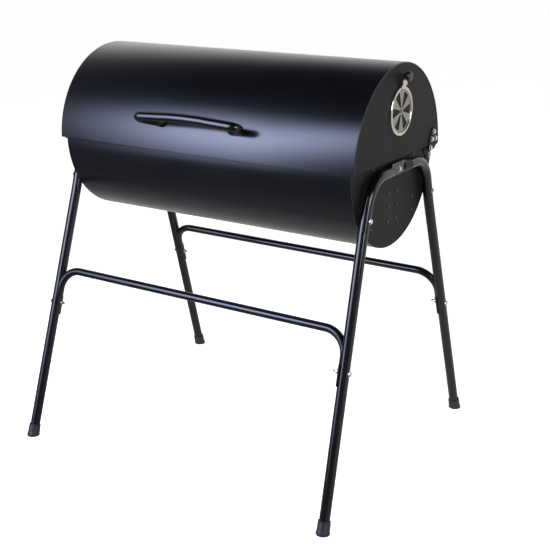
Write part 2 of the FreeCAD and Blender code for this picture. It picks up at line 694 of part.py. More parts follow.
def make_cooking_grid(name, side):
    rim = float(cell("grid_rim_wire"))
    thin = float(cell("grid_wire"))
    half = float(cell("grid_half_width"))
    middle = float(bowl_y)
    z = float(grid_z) + rim + 0.1
    inner, outer = 1.5 + rim, float(bowl_inner) - 2.5 - rim
    low_x, high_x = (inner, outer) if side > 0 else (-outer, -inner)
    pieces = []
    count = int((high_x - low_x) / float(cell("grid_pitch")))
    pitch = (high_x - low_x) / count
    for index in range(1, count):
        x = low_x + pitch * index
        pieces.append(straight_wire(Vector(x, middle - half, z), Vector(x, middle + half, z), thin))
    under = z - (rim - thin)
    for y in (middle - half * 0.42, middle + half * 0.42):
        pieces.append(straight_wire(Vector(low_x, y, under), Vector(high_x, y, under), thin))
    loop = rim_loop((low_x, middle - half), (high_x, middle + half), z, rim, 16)
    from_shape(f"cooking_grid_{name}", loop.fuse(pieces).removeSplitter())


def make_charcoal_grate():
    radius = float(cell("grate_wire"))
    top = float(ledge_tops[1])
    middle = float(bowl_y)
    half_width = math.sqrt(float(bowl_r) ** 2 - float(cell("ledge_drop_mid")) ** 2) - 16
    half_length = float(bowl_inner) - 4
    cross_z = top + radius + 0.1
    rods = []
    count = int(float(cell("grate_rod_count")))
    for index in range(count):
        y = middle - half_width + 6 + (2 * half_width - 12) * index / (count - 1)
        z = cross_z + radius * 1.7
        rods.append(straight_wire(Vector(-half_length, y, z), Vector(half_length, y, z), radius))
    crossings = []
    for x in (6 - half_length, -half_length / 2, 0, half_length / 2, half_length - 6):
        crossings.append(straight_wire(Vector(x, middle - half_width, cross_z),
                                       Vector(x, middle + half_width, cross_z), radius))
    from_shape("charcoal_grate", rods[0].fuse(rods[1:] + crossings).removeSplitter())


# --- leg frames ----------------------------------------------------------------------

leg_slope = (float(cell("foot_y")) - float(leg_bolt_y)) / float(leg_bolt_z)
splay_slope = float(cell("foot_splay")) / float(cell("splay_height"))


def leg_point(z, side_x, side_y):
    """A point on a leg's centre line at height z."""
    splay = max(0.0, float(cell("splay_height")) - z) * splay_slope
    return Vector(side_x * (float(frame_x) + splay), side_y * (float(cell("foot_y")) - leg_slope * z), z)


def leg_heading(side_x, side_y):
    high = leg_point(float(cell("splay_height")), side_x, side_y)
    return (high - leg_point(0, side_x, side_y)).normalize()


def frame_path(side):
    top_z = float(frame_top_z)
    feet = [leg_point(0, side, way) + leg_heading(side, way) * float(cell("cap_floor"))
            for way in (-1, 1)]
    knees = [leg_point(float(cell("splay_height")), side, way) for way in (-1, 1)]
    tops = [leg_point(top_z, side, way) for way in (-1, 1)]
    points = [feet[0], knees[0], tops[0], tops[1], knees[1], feet[1]]
    bend = float(cell("frame_bend"))
    return rounded_path(points, (300, bend, bend, 300))


def crimp(side):
    """The flattened middle of the top bar, pressed towards the bowl."""
    thick = float(cell("crimp_thick"))
    half = float(cell("crimp_half"))
    run = half + 24
    radius = float(leg_r)
    top_z = float(frame_top_z)
    inner = float(bowl_half + spacer)
    middle_x = side * (inner + thick / 2)
    sections = []
    for y, x, tall, deep in ((-run, side * float(frame_x), radius, radius),
                             (-half, middle_x, radius * 1.3, thick * 0.72),
                             (half, middle_x, radius * 1.3, thick * 0.72),
                             (run, side * float(frame_x), radius, radius)):
        if tall > deep:
            oval = Part.Ellipse(Vector(x, y, top_z + tall), Vector(x + deep, y, top_z), Vector(x, y, top_z))
        else:
            oval = Part.Circle(Vector(x, y, top_z), Vector(0, 1, 0), radius)
        sections.append(Part.Wire([oval.toShape()]))
    joined = Part.makeLoft(sections, True, True)
    slab = Part.makeBox(40, run * 2, 80, Vector(0, -run, top_z - 40))
    outer_x = side * (inner + thick)
    slab.translate(Vector(outer_x if side > 0 else outer_x - 40, 0, 0))
    backing = Part.makeBox(40, run * 2, 80, Vector(0, -run, top_z - 40))
    backing.translate(Vector(side * inner - (40 if side > 0 else 0), 0, 0))
    flat_run = Part.makeBox(90, half * 2, 90, Vector(side * float(frame_x) - 45, -half, top_z - 45))
    flat_face = slab.common(flat_run)
    return joined.cut(flat_face).cut(backing), run


def make_leg_frame(name, side):
    path = frame_path(side)
    radius = float(leg_r)
    pressed, run = crimp(side)
    gap = Part.makeBox(120, run * 2, 120, Vector(side * float(frame_x) - 60, -run, float(frame_top_z) - 60))
    shape = bent_tube(path, radius, float(cell("tube_wall"))).cut(gap).fuse(pressed)
    tools = [Part.makeCylinder(float(hole_r), 80, Vector(side * float(frame_x) - 40, float(y), float(z)),
                               Vector(1, 0, 0)) for y, z in frame_bolt_places]
    for way in (-1, 1):
        place = rail_bolt_point(side, way)
        tools.append(Part.makeCylinder(float(hole_r), 80, place - Vector(40, 0, 0), Vector(1, 0, 0)))
    from_shape(f"leg_frame_{name}", shape.cut(tools))


def make_foot_cap(label, side_x, side_y):
    radius = cell("cap_radius")
    tall = cell("cap_height")
    bore = leg_r + fit_gap / 2
    floor_z = cell("cap_floor")
    body = turned(f"{label}_body", [
        (0, -6), (radius * 0.86, -6), (radius, -1), (radius, 3), (radius * 0.93, 8),
        (bore + 1.9, tall - 3), (bore + 2.3, tall - 2), (bore + 2.3, tall), (bore, tall),
        (bore, floor_z - fit_gap), (0, floor_z - fit_gap)])
    body.Placement = Placement(leg_point(0, side_x, side_y),
                               Rotation(Vector(0, 0, 1), leg_heading(side_x, side_y)))
    floor = block(f"{label}_floor", (-everywhere / 2, -everywhere / 2, -50),
                  (everywhere / 2, everywhere / 2, 0))
    keep(cut(f"{label}_cut", body, [floor]), label)


# --- rails ---------------------------------------------------------------------------

def rail_bolt_point(side_x, side_y):
    return leg_point(float(cell("rail_height") - cell("rail_bolt_drop")), side_x, side_y)


def leg_jacket(side_x, side_y, radius):
    """A long cylinder about a leg's lower run."""
    return Part.makeCylinder(radius, 560, leg_point(0, side_x, side_y), leg_heading(side_x, side_y))


def make_rail(label, side_y):
    """A tube whose ends turn down the legs, each end pressed to a saddle around its leg."""
    high = float(cell("rail_height"))
    low = high - float(cell("rail_drop"))
    radius = float(cell("rail_tube")) / 2
    press = float(cell("rail_press"))
    against = float(leg_r) + 0.3
    bend = float(cell("rail_bend"))
    ends = []
    for side_x in (-1, 1):
        for z in ((high - bend - 25, high) if side_x < 0 else (high, high - bend - 25)):
            leg = leg_point(z, side_x, side_y)
            ends.append(leg - Vector(side_x * (against + press - radius), 0, 0))
    path = rounded_path(ends, (bend, bend))
    outer = swept(path, radius)
    shape = outer.cut(swept(path, radius - float(cell("tube_wall"))))
    legs, holes = [], []
    for side_x in (-1, 1):
        jacket = leg_jacket(side_x, side_y, against + press)
        shape = shape.fuse(outer.common(jacket))
        lower = leg_point(low, side_x, side_y)
        reach = leg_point(high - bend - 12, side_x, side_y) - lower
        saddle = Part.makeCylinder(against + press, reach.Length, lower, reach)
        inner_side = Part.makeBox(30, 80, 160, Vector(-30, -40, -10))
        inner_side.translate(Vector(-against * 0.6, 0, 0))
        if side_x < 0:
            inner_side = inner_side.mirror(Vector(), Vector(1, 0, 0))
        inner_side.translate(lower)
        shape = shape.fuse(saddle.common(inner_side))
        legs.append(leg_jacket(side_x, side_y, against))
        holes.append(Part.makeCylinder(float(hole_r), 120, rail_bolt_point(side_x, side_y) - Vector(60, 0, 0),
                                       Vector(1, 0, 0)))
        drain = Vector(side_x * (float(frame_x) - bend - 60), ends[1].y, high - radius * 2)
        holes.append(Part.makeCylinder(2, radius * 2, drain, Vector(0, 0, 1)))
    from_shape(label, shape.cut(legs + holes).removeSplitter())


# --- fasteners of the frame ----------------------------------------------------------

def make_frame_fasteners():
    bolts, nuts, spacers = [], [], []
    crimp_face = bowl_half + spacer + cell("crimp_thick")
    tube_face = frame_x + leg_r
    for name, side in sides.items():
        for index, (y, z) in enumerate(frame_bolt_places):
            face = (crimp_face if index == 0 else tube_face) + fit_gap
            bolts.append(hex_bolt(f"frame_bolt_{name}_{index}", side, face, y, z,
                                  face - bowl_inner + nut_t + 2))
            nuts.append(hex_nut(f"frame_nut_{name}_{index}", side, bowl_inner - nut_t, y, z))
            spacers.append(ring(f"frame_spacer_{name}_{index}", side, bowl_half + fit_gap / 4, y, z,
                                cell("washer_radius"), hole_r, spacer - fit_gap / 2))
    keep(group("frame_bolt_group", bolts), "frame_bolts")
    keep(group("frame_nut_group", nuts), "frame_nuts")
    keep(group("frame_spacer_group", spacers), "frame_spacers")


def make_rail_fasteners():
    """Each rail bolt goes through a leg and a rail, its nut on the inner side."""
    bolts, nuts = [], []
    length = leg_r * 2 + cell("rail_press") + nut_t + 8
    for name_x, side_x in sides.items():
        for name_y, side_y in (("front", -1), ("rear", 1)):
            place = rail_bolt_point(1, side_y)
            face = Size(place.x + float(leg_r) + 0.3)
            y, z = Size(place.y), Size(place.z)
            bolts.append(hex_bolt(f"rail_bolt_{name_x}_{name_y}", side_x, face, y, z, length))
            nut_face = Size(place.x - float(leg_r) - 0.6) - cell("rail_press") - nut_t
            nuts.append(hex_nut(f"rail_nut_{name_x}_{name_y}", side_x, nut_face, y, z))
    keep(group("rail_bolt_group", bolts), "rail_bolts")
    keep(group("rail_nut_group", nuts), "rail_nuts")


make_lid_shell()
lid_bolts, lid_nuts = [], []
bushes, pins, pin_nuts, bracket_bolts, bracket_nuts = [], [], [], [], []
for end_name, end_side in sides.items():
    make_lid_end(end_name, end_side)
    new_bolts, new_nuts = make_lid_brackets(end_name, end_side)
    lid_bolts += new_bolts
    lid_nuts += new_nuts
    make_bowl_end(end_name, end_side)
    for pile, piece in zip((bushes, pins, pin_nuts, bracket_bolts, bracket_nuts),
                           make_bowl_bracket(end_name, end_side)):
        pile.append(piece)
    make_ledges(end_name, end_side)
    make_leg_frame(end_name, end_side)
    make_cooking_grid(end_name, end_side)
keep(group("lid_bolt_group", lid_bolts), "lid_hinge_bolts")
keep(group("lid_nut_group", lid_nuts), "lid_hinge_nuts")
keep(group("bush_group", bushes), "hinge_bushes")
keep(group("pin_group", pins), "hinge_pins")
keep(group("pin_nut_group", pin_nuts), "hinge_pin_nuts")
keep(group("bracket_bolt_group", bracket_bolts), "bowl_hinge_bolts")
keep(group("bracket_nut_group", bracket_nuts), "bowl_hinge_nuts")
make_vent()
make_handle()
make_bowl_shell()
make_grid_bar()
make_charcoal_grate()
for corner_label, corner_x, corner_y in (("front_left", -1, -1), ("front_right", 1, -1),
                                         ("rear_left", -1, 1), ("rear_right", 1, 1)):
    make_foot_cap(f"foot_cap_{corner_label}", corner_x, corner_y)
make_rail("front_rail", -1)
make_rail("rear_rail", 1)
make_frame_fasteners()
make_rail_fasteners()
doc.recompute()

failed = [item.Name for item in doc.Objects if "Invalid" in item.State or "Error" in item.State]
if failed:
    raise RuntimeError(f"failed objects: {failed}")
os.makedirs("parts", exist_ok=True)
for item in nodes:
    if item.Shape.isNull() or not item.Shape.isValid() or not item.Shape.Solids:
        raise RuntimeError(f"bad shape: {item.Label}")
for item in nodes:
    item.Shape.exportStep(f"parts/{item.Label}.step")
print(f"{len(nodes)} nodes written")
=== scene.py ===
import json
import math

import bmesh
import bpy
from mathutils import Matrix, Vector


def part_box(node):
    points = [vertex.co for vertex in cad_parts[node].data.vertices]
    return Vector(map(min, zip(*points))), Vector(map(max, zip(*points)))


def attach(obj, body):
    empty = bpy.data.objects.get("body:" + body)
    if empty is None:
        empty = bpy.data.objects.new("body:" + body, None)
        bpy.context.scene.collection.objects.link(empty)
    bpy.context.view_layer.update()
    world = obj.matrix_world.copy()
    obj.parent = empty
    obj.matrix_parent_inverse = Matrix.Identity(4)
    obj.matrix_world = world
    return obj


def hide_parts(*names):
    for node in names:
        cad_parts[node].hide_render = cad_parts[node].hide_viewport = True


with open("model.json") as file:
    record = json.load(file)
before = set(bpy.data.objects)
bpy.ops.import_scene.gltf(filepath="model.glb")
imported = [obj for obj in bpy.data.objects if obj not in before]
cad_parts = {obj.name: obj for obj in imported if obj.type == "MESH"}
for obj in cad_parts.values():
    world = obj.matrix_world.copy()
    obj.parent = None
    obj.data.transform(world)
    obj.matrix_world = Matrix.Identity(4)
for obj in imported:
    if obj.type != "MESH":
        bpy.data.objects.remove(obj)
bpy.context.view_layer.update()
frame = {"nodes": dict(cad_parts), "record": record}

mm = 0.001
hinge = next(joint for joint in frame["record"]["behaviour"]["joints"] if joint["name"] == "lid_hinge")
pivot = Vector(hinge["pos_m"])
slotOf = {part["node"]: part["material_slot"] for part in frame["record"]["subparts"]}


# --- node writing ---

class Field:
    # a number that changes over a surface: arithmetic on it adds Math nodes
    def __init__(self, net, socket):
        self.net = net
        self.socket = socket

    def join(self, operation, first, second):
        return self.net.node("ShaderNodeMath", {"operation": operation}, {0: first, 1: second})

    def __add__(self, other):
        return self.join("ADD", self, other)

    def __radd__(self, other):
        return self.join("ADD", other, self)

    def __sub__(self, other):
        return self.join("SUBTRACT", self, other)

    def __rsub__(self, other):
        return self.join("SUBTRACT", other, self)

    def __mul__(self, other):
        return self.join("MULTIPLY", self, other)

    def over(self, least):
        return self.join("MAXIMUM", self, least)

    def under(self, most):
        return self.join("MINIMUM", self, most)

    def bell(self):
        return self.join("EXPONENT", self * self * -0.5, 0.0)


class Net:
    # a node tree, with the one method that adds a node and links what feeds it
    def __init__(self, tree):
        self.tree = tree

    def node(self, kind, settings, inputs, output=0):
        made = self.tree.nodes.new(kind)
        for name, setting in settings.items():
            if name == "stops":
                ramp = made.color_ramp
                while len(ramp.elements) < len(setting):
                    ramp.elements.new(1.0)
                for element, (at, shade) in zip(ramp.elements, setting):
                    element.position = at
                    element.color = shade if isinstance(shade, tuple) else (shade, shade, shade, 1)
            else:
                setattr(made, name, setting)
        for key, value in inputs.items():
            if isinstance(value, Field):
                self.tree.links.new(value.socket, made.inputs[key])
            else:
                made.inputs[key].default_value = value
        return Field(self, made.outputs[output])


class Paint(Net):
    # one material: a Principled shader with plain values, and nodes for what varies
    def __init__(self, name, **plain):
        self.material = bpy.data.materials.new(name)
        self.material.use_nodes = True
        super().__init__(self.material.node_tree)
        self.shader = self.tree.nodes["Principled BSDF"]
        for socket, value in plain.items():
            self.shader.inputs[socket.replace("_", " ")].default_value = value
        self.place = self.node("ShaderNodeTexCoord", {}, {}, "Object")

    def noise(self, scale, detail=3.0, stretch=(1, 1, 1), rough=0.5):
        spot = self.node("ShaderNodeMapping", {}, {"Vector": self.place, "Scale": stretch})
        return self.node("ShaderNodeTexNoise", {"noise_dimensions": "3D"},
                         {"Vector": spot, "Scale": scale, "Detail": detail, "Roughness": rough})

    def ramp(self, field, stops):
        return self.node("ShaderNodeValToRGB", {"stops": stops}, {"Fac": field})

    def blend(self, factor, low, high):
        return self.node("ShaderNodeMix", {"data_type": "RGBA"}, {0: factor, 6: low, 7: high}, 2)

    def bump(self, height, distance, under=None):
        inputs = {"Height": height, "Distance": distance, "Strength": 1.0}
        if under:
            inputs["Normal"] = under
        return self.node("ShaderNodeBump", {}, inputs)

    def feed(self, **links):
        for socket, field in links.items():
            self.tree.links.new(field.socket, self.shader.inputs[socket.replace("_", " ")])
        return self.material


def rgb(level, warm=0.0):
    return (level * (1 + warm), level, level * (1 - warm), 1)


def enamelFinish(name, look):
    # sprayed black: soft waves of the sheet, orange peel, faint dust specks
    paint = Paint(name, IOR=look["ior"])
    wave = paint.noise(look["waveScale"], 1.0)
    peel = paint.noise(look["peelScale"], 2.0)
    cloud = paint.noise(look["cloudScale"], 5.0)
    speck = paint.ramp(paint.noise(look["speckScale"], 2.0), [(0.0, 0.0), (0.7, 0.0), (0.76, 1.0)])
    colour = paint.blend(cloud * 0.8 + speck * look["speckLevel"], rgb(look["dark"], look["warm"]),
                         rgb(look["pale"], look["warm"]))
    rough = look["rough"] + cloud * look["roughSpread"] + speck * 0.1
    waves = paint.bump(wave, look["waveHeight"])
    return paint.feed(Base_Color=colour, Roughness=rough, Normal=paint.bump(peel, look["peelHeight"], waves))


def metalFinish(name, look):
    # plated steel: fine draw lines one way, cloudy dulling
    paint = Paint(name, Metallic=1.0, IOR=1.8)
    lines = paint.noise(look["lineScale"], 3.0, look["lineStretch"])
    cloud = paint.noise(look["cloudScale"], 4.0)
    colour = paint.blend(cloud, tuple(look["dark"]) + (1,), tuple(look["pale"]) + (1,))
    rough = look["rough"] + cloud * look["roughSpread"] + lines * 0.08
    return paint.feed(Base_Color=colour, Roughness=rough, Normal=paint.bump(lines, look["lineHeight"]))


def plasticFinish(name, look):
    # moulded black: fine spark texture, handling marks
    paint = Paint(name, IOR=1.5)
    spark = paint.noise(look["sparkScale"], 2.0)
    marks = paint.noise(look["markScale"], 5.0, (1, 1, 1), 0.65)
    colour = paint.blend(marks, rgb(look["dark"]), rgb(look["pale"]))
    rough = look["rough"] + marks * look["roughSpread"]
    return paint.feed(Base_Color=colour, Roughness=rough, Normal=paint.bump(spark, look["sparkHeight"]))


def nickelFinish(name, look):
    # the damper: satin inside, polished where the rolled rim begins, faint turning lines
    paint = Paint(name, Metallic=1.0, IOR=1.8)
    low, high = (Vector(corner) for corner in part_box("vent_disc"))
    middle = Vector((0, (low.y + high.y) / 2, low.z + look["radius"]))
    at = paint.node("ShaderNodeVectorMath", {"operation": "SUBTRACT"}, {0: paint.place, 1: middle})
    flat = paint.node("ShaderNodeVectorMath", {"operation": "MULTIPLY"}, {0: at, 1: (0, 1, 1)})
    away = paint.node("ShaderNodeVectorMath", {"operation": "LENGTH"}, {0: flat}, "Value")
    rim = paint.ramp(away * (1 / look["radius"]),
                     [(0.0, 0.0), (look["rimStart"] - look["rimBlend"], 0.0), (look["rimStart"], 1.0)])
    cloud = paint.noise(look["cloudScale"], 4.0)
    rings = paint.node("ShaderNodeTexNoise", {"noise_dimensions": "1D"},
                       {"W": away * look["ringScale"], "Detail": 2.0})
    satin = paint.blend(cloud, look["satinDark"], look["satinPale"])
    colour = paint.blend(rim, satin, look["polish"])
    rough = look["satinRough"] + cloud * 0.12 - rim * (look["satinRough"] - look["rimRough"])
    turning = paint.bump(rings * (1 - rim), look["ringHeight"])
    return paint.feed(Base_Color=colour, Roughness=rough, Normal=turning)


blackLook = {"ior": 1.5, "waveScale": 5.0, "waveHeight": 0.0006, "peelScale": 700.0, "peelHeight": 0.00002,
             "cloudScale": 9.0, "speckScale": 420.0, "speckLevel": 0.3, "dark": 0.0035, "pale": 0.0065,
             "warm": -0.04, "rough": 0.17, "roughSpread": 0.08}
finishes = {
    "barrel_enamel": enamelFinish("barrelEnamel", blackLook),
    "end_paint": enamelFinish("endPaint", dict(
        blackLook, ior=1.24, dark=0.004, pale=0.0075, warm=0.09, rough=0.45, roughSpread=0.16,
        peelHeight=0.00004, waveHeight=0.0003)),
    "frame_paint": enamelFinish("framePaint", dict(
        blackLook, dark=0.003, pale=0.006, warm=0.03, rough=0.09, roughSpread=0.08,
        cloudScale=24.0, waveHeight=0.0)),
    "handle_paint": enamelFinish("handlePaint", dict(
        blackLook, dark=0.003, pale=0.005, rough=0.1, roughSpread=0.08,
        cloudScale=30.0, waveHeight=0.0)),
    "inner_steel": enamelFinish("innerSteel", dict(
        blackLook, dark=0.02, pale=0.04, rough=0.45, cloudScale=40.0)),
    "painted_rivets": enamelFinish("paintedRivets", dict(
        blackLook, dark=0.03, pale=0.05, rough=0.35, cloudScale=60.0, waveHeight=0.0)),
    "zinc": metalFinish("zincPlate", {
        "lineScale": 900.0, "lineStretch": (0.2, 1, 1), "lineHeight": 0.00001, "cloudScale": 260.0,
        "dark": (0.52, 0.53, 0.56), "pale": (0.86, 0.86, 0.88), "rough": 0.14, "roughSpread": 0.14}),
    "vent_nickel": nickelFinish("ventNickel", {
        "radius": 57.5 * mm, "rimStart": 0.87, "rimBlend": 0.02, "cloudScale": 55.0,
        "ringScale": 2600.0, "ringHeight": 0.000012,
        "satinDark": (0.25, 0.24, 0.205, 1), "satinPale": (0.38, 0.365, 0.315, 1),
        "polish": (0.6, 0.58, 0.52, 1), "satinRough": 0.4, "rimRough": 0.1}),
    "knob_plastic": plasticFinish("knobPlastic", {
        "sparkScale": 1800.0, "sparkHeight": 0.000006, "markScale": 70.0,
        "dark": 0.006, "pale": 0.014, "rough": 0.24, "roughSpread": 0.16}),
    "plug_plastic": plasticFinish("plugPlastic", {
        "sparkScale": 1600.0, "sparkHeight": 0.00001, "markScale": 60.0,
        "dark": 0.012, "pale": 0.02, "rough": 0.4, "roughSpread": 0.15}),
    "foot_plastic": plasticFinish("footPlastic", {
        "sparkScale": 1500.0, "sparkHeight": 0.00002, "markScale": 45.0,
        "dark": 0.008, "pale": 0.022, "rough": 0.34, "roughSpread": 0.22}),
    "grid_wire": metalFinish("gridWire", {
        "lineScale": 700.0, "lineStretch": (1, 0.1, 1), "lineHeight": 0.000006, "cloudScale": 60.0,
        "dark": (0.5, 0.5, 0.5), "pale": (0.78, 0.78, 0.79), "rough": 0.12, "roughSpread": 0.16}),
    "grate_iron": metalFinish("grateIron", {
        "lineScale": 500.0, "lineStretch": (0.1, 1, 1), "lineHeight": 0.00002, "cloudScale": 50.0,
        "dark": (0.05, 0.05, 0.052), "pale": (0.14, 0.13, 0.12), "rough": 0.4, "roughSpread": 0.25}),
}
print("finishes ready")


# --- carried-over nodes: joined corners, broken edges, smooth shading on round faces ---

def smoothGroup(sharpAngle):
    group = bpy.data.node_groups.new("smoothRoundFaces", "GeometryNodeTree")
    group.interface.new_socket("Geometry", in_out="INPUT", socket_type="NodeSocketGeometry")
    group.interface.new_socket("Geometry", in_out="OUTPUT", socket_type="NodeSocketGeometry")
    net = Net(group)
    start = net.node("NodeGroupInput", {}, {})
    smooth = net.node("GeometryNodeSetShadeSmooth", {}, {"Geometry": start})
    angle = net.node("GeometryNodeInputMeshEdgeAngle", {}, {}, "Unsigned Angle")
    above = net.node("FunctionNodeCompare", {"data_type": "FLOAT", "operation": "GREATER_THAN"},
                     {"A": angle, "B": sharpAngle})
    store = net.node("GeometryNodeStoreNamedAttribute", {"data_type": "BOOLEAN", "domain": "EDGE"},
                     {"Name": "sharp_edge", "Geometry": smooth, "Value": above})
    end = group.nodes.new("NodeGroupOutput")
    group.links.new(store.socket, end.inputs[0])
    return group


carried = {"weld": 0.01 * mm, "sharp": 34, "edgeSteps": 2, "edgeAngle": 50}
softEdges = {"lid_end_left": 0.35, "lid_end_right": 0.35, "bowl_end_left": 0.3, "bowl_end_right": 0.3,
             "lid_hinge_bracket_left": 0.4, "lid_hinge_bracket_right": 0.4,
             "bowl_hinge_bracket_left": 0.4, "bowl_hinge_bracket_right": 0.4, "vent_disc": 0.2}


def finishNode(name, item, group):
    item.material_slots[0].material = finishes[slotOf[name]]
    weld = item.modifiers.new("weld", "WELD")
    weld.merge_threshold = carried["weld"]
    if name in softEdges:
        bevel = item.modifiers.new("brokenEdge", "BEVEL")
        bevel.width = softEdges[name] * mm
        bevel.segments = carried["edgeSteps"]
        bevel.limit_method = "ANGLE"
        bevel.angle_limit = math.radians(carried["edgeAngle"])
    rounded = item.modifiers.new("roundFaces", "NODES")
    rounded.node_group = group
    weighted = item.modifiers.new("flatFaces", "WEIGHTED_NORMAL")
    weighted.keep_sharp = True


roundFaces = smoothGroup(math.radians(carried["sharp"]))
for nodeName, nodeObject in frame["nodes"].items():
    finishNode(nodeName, nodeObject, roundFaces)
print("nodes finished")


# --- making pieces ---

def polyline(points):
    bm = bmesh.new()
    verts = [bm.verts.new(point) for point in points]
    for index, vert in enumerate(verts[1:]):
        bm.edges.new((verts[index], vert))
    return bm, verts


def roundCorners(bm, verts, radius, steps):
    if verts:
        bmesh.ops.bevel(bm, geom=verts, offset=radius, offset_type="OFFSET", segments=steps, profile=0.5,
                        affect="VERTICES", material=-1, clamp_overlap=True)


def turned(profile, steps, sweep=math.tau, closed=False, rounded=(), radius=0.0):
    # profile points are (along X, away from X); the sweep starts at -Y and climbs over +Z
    bm, verts = polyline([(along, -away, 0) for along, away in profile])
    if closed:
        bm.edges.new((verts[-1], verts[0]))
    roundCorners(bm, [verts[index] for index in rounded], radius, 4)
    full = abs(sweep) > math.tau - 1e-6
    bmesh.ops.spin(bm, geom=bm.verts[:] + bm.edges[:], cent=(0, 0, 0), axis=(-1, 0, 0), dvec=(0, 0, 0),
                   angle=sweep, steps=steps, use_merge=full, use_duplicate=False)
    bmesh.ops.remove_doubles(bm, verts=bm.verts, dist=1e-6)
    if not full:
        bmesh.ops.edgeloop_fill(bm, edges=[edge for edge in bm.edges if edge.is_boundary])
    bmesh.ops.recalc_face_normals(bm, faces=bm.faces)
    return bm


def placed(bm, at, along=(1, 0, 0)):
    turn = Vector((1, 0, 0)).rotation_difference(Vector(along)).to_matrix().to_4x4()
    bmesh.ops.transform(bm, matrix=Matrix.Translation(at) @ turn, verts=bm.verts)
    return bm


def merged(parts):
    whole = bmesh.new()
    for part in parts:
        holder = bpy.data.meshes.new("holder")
        part.to_mesh(holder)
        part.free()
        whole.from_mesh(holder)
        bpy.data.meshes.remove(holder)
    return whole


def piece(name, bm, slot, body, instead, sharp=34):
    mesh = bpy.data.meshes.new(name)
    bm.to_mesh(mesh)
    bm.free()
    mesh.shade_smooth()
    mesh.set_sharp_from_angle(angle=math.radians(sharp))
    item = bpy.data.objects.new(name, mesh)
    bpy.context.scene.collection.objects.link(item)
    mesh.materials.append(finishes[slot])
    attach(item, body)
    if instead:
        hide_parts(*instead)
    return item


# --- barrel skins ---

barrel = {"sheet": 1.2 * mm, "fold": 1.4 * mm, "foldWall": 0.5 * mm, "bend": 1.1 * mm, "steps": 160,
          "lipEdge": 0.55 * mm, "edgeShare": 0.6}


def lidSkin():
    low, high = (Vector(corner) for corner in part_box("lid_shell"))
    radius = high.y
    axis = high.z - radius
    edge = math.asin((low.z - axis) / radius)
    end = high.x
    inner = radius - barrel["sheet"]
    fold = end - barrel["foldWall"]
    folded = inner - barrel["fold"]
    profile = [(-fold, inner), (-fold, folded), (-end, folded), (-end, radius),
               (end, radius), (end, folded), (fold, folded), (fold, inner)]
    skin = turned(profile, barrel["steps"], math.pi - 2 * edge, True, (3, 4), barrel["bend"])
    bmesh.ops.rotate(skin, cent=(0, 0, 0), matrix=Matrix.Rotation(-edge, 3, "X"), verts=skin.verts)
    return piece("lidSkin", placed(skin, (0, (low.y + high.y) / 2, axis)), "barrel_enamel", "lid",
                 ("lid_shell",))


def bowlSkin():
    low, high = (Vector(corner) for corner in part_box("bowl_shell"))
    radius = high.z - low.z
    end = high.x
    inner = radius - barrel["sheet"]
    profile = [(-end, inner), (-end, radius), (end, radius), (end, inner)]
    skin = turned(profile, barrel["steps"], -math.pi, True, (1, 2), barrel["sheet"] * barrel["edgeShare"])
    front = high.y - 2 * radius
    lip = bmesh.new()
    bmesh.ops.create_cube(lip, size=1.0)
    bmesh.ops.scale(lip, vec=(2 * end, front - low.y + barrel["sheet"] / 2, barrel["sheet"]), verts=lip.verts)
    bmesh.ops.translate(lip, vec=(0, (front + low.y + barrel["sheet"] / 2) / 2, high.z - barrel["sheet"] / 2),
                        verts=lip.verts)
    bmesh.ops.bevel(lip, geom=lip.edges[:], offset=barrel["lipEdge"], offset_type="OFFSET", segments=3,
                    profile=0.5, affect="EDGES", material=-1)
    whole = merged([placed(skin, (0, high.y - radius, high.z)), lip])
    return piece("bowlSkin", whole, "barrel_enamel", "stand", ("bowl_shell",))


lidSkin()
bowlSkin()
print("barrel skins made")


# --- bolts and nuts ---

bolt = {"hex": 5.8 * mm, "head": 4.0 * mm, "flange": 6.6 * mm, "flangeThick": 0.9 * mm, "shank": 2.95 * mm,
        "pitch": 1.0 * mm, "depth": 0.35 * mm, "chamfer": 0.45 * mm, "nut": 5.0 * mm,
        "tip": 0.75, "dome": 1.2, "domeSteps": 24, "flangeSteps": 36, "shankSteps": 20}
boltRuns = {"leg": (35, 10), "top": (20, 8), "bracket": (8, 5), "pivot": (19, 5), "rail": (41, 20)}


def hexBlock(radius, thick, chamfer):
    # a chamfered six-sided block along +X
    block = bmesh.new()
    bmesh.ops.create_cone(block, cap_ends=True, segments=6, radius1=radius, radius2=radius, depth=thick)
    bmesh.ops.rotate(block, cent=(0, 0, 0), matrix=Matrix.Rotation(math.pi / 2, 3, "Y"), verts=block.verts)
    bmesh.ops.translate(block, vec=(thick / 2, 0, 0), verts=block.verts)
    bmesh.ops.bevel(block, geom=block.edges[:], offset=chamfer, offset_type="OFFSET", segments=2, profile=0.5,
                    affect="EDGES", material=-1)
    return block


def threadProfile(start, end):
    points = [(start, bolt["shank"])]
    while points[-1][0] < end - bolt["pitch"]:
        along = points[-1][0]
        points.append((along + bolt["pitch"] / 2, bolt["shank"] - bolt["depth"]))
        points.append((along + bolt["pitch"], bolt["shank"]))
    return points


def hexBolt(use):
    # the head's seat is at the origin, the head towards +X and the shank towards -X
    length, threaded = (run * mm for run in boltRuns[use])
    wide, high, shank = bolt["hex"], bolt["head"], bolt["shank"]
    head = hexBlock(wide, high, bolt["chamfer"])
    dome = turned([(high, wide * 0.72), (high * 1.12, wide * 0.6), (high * 1.19, wide * 0.3),
                   (high * bolt["dome"], 0)], bolt["domeSteps"])
    flange = turned([(0, shank), (0, bolt["flange"]), (bolt["flangeThick"] * 0.6, bolt["flange"]),
                     (bolt["flangeThick"], wide * 0.8)], bolt["flangeSteps"])
    tip = -length
    points = [(tip, 0), (tip, shank * bolt["tip"])] + threadProfile(tip + bolt["pitch"], tip + threaded)
    points += [(tip + threaded + bolt["pitch"], shank), (0, shank)]
    return merged([head, dome, flange, turned(points, bolt["shankSteps"])])


